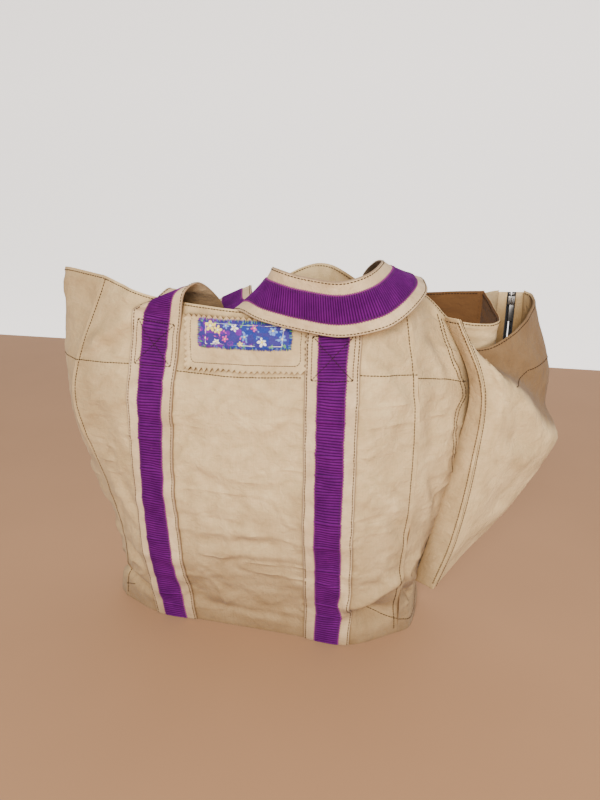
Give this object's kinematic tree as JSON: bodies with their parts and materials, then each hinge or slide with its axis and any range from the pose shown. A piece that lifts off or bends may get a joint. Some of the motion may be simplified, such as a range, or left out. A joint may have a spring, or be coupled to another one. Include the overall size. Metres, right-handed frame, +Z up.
{
  "type": "canvas tote bag",
  "caption": "Open-top canvas tote bag with ribbon-trimmed straps that form two handles, a maker's patch and a bellows side pocket with an upright zip.",
  "frame": {"origin": "on the surface it stands on, under the middle of the straight front edge's span and between the base's front and back", "axes": "+X to the right along the front panel, +Y to the back, +Z up"},
  "size_m": [0.5254, 0.211, 0.4295],
  "materials": {
    "canvas": "washed beige cotton canvas, matt",
    "ribbon": "purple grosgrain, low sheen",
    "label": null,
    "thread": "dark brown sewing thread",
    "zip": "black woven zip tape and nylon coil",
    "zip_metal": "nickel-plated zinc"
  },
  "bodies": {
    "bag": {"front_panel": "canvas", "right_side_panel": "canvas", "back_panel": "canvas", "front_facing": "canvas", "back_facing": "canvas", "base_panel": "canvas", "front_left_strap": "canvas", "front_left_ribbon": "ribbon", "front_right_strap": "canvas", "front_right_ribbon": "ribbon", "back_left_strap": "canvas", "back_left_ribbon": "ribbon", "back_right_strap": "canvas", "back_right_ribbon": "ribbon", "under_left_strap": "canvas", "under_left_ribbon": "ribbon", "under_right_strap": "canvas", "under_right_ribbon": "ribbon", "maker_patch": "canvas", "printed_label": "label", "pocket_face": "canvas", "pocket_hem": "canvas", "pocket_near_bellows": "canvas", "pocket_far_bellows": "canvas", "pocket_bottom_bellows": "canvas", "zip_tape_bag_side": "zip", "zip_tape_pocket_side": "zip", "zip_coil_bag_side": "zip", "zip_coil_pocket_side": "zip", "zip_top_stop_bag_side": "zip_metal", "zip_top_stop_pocket_side": "zip_metal", "zip_bottom_stop": "zip_metal"},
    "front_handle": {"front_handle_canvas": "canvas", "front_handle_ribbon": "ribbon"},
    "back_handle": {"back_handle_canvas": "canvas", "back_handle_ribbon": "ribbon"},
    "zip_slider": {"zip_slider": "zip_metal"},
    "zip_pull": {"zip_pull": "zip_metal"}
  },
  "joints": [
    {"name": "back_handle_lift", "type": "hinge", "parent": "bag", "child": "back_handle", "pos_m": [-0.052, 0.069, 0.363], "axis": [-0.9851, -0.0274, -0.1697], "range_deg": [0, 118]},
    {"name": "front_handle_lift", "type": "hinge", "parent": "bag", "child": "front_handle", "pos_m": [0, -0.078, 0.394], "axis": [1, 0, 0], "range_deg": [0, 130]},
    {"name": "zip_slide", "type": "slide", "parent": "bag", "child": "zip_slider", "axis": [0, 0, -1], "range_m": [0, 0.15]},
    {"name": "zip_pull_swing", "type": "hinge", "parent": "zip_slider", "child": "zip_pull", "pos_m": [0.26794, 0.10039, 0.3736], "axis": [-0.9836, -0.1805, 0], "range_deg": [0, 120]}
  ],
  "couplings": [
    {"joint": "front_handle_lift", "follows": "back_handle_lift", "ratio": 1.1}
  ]
}
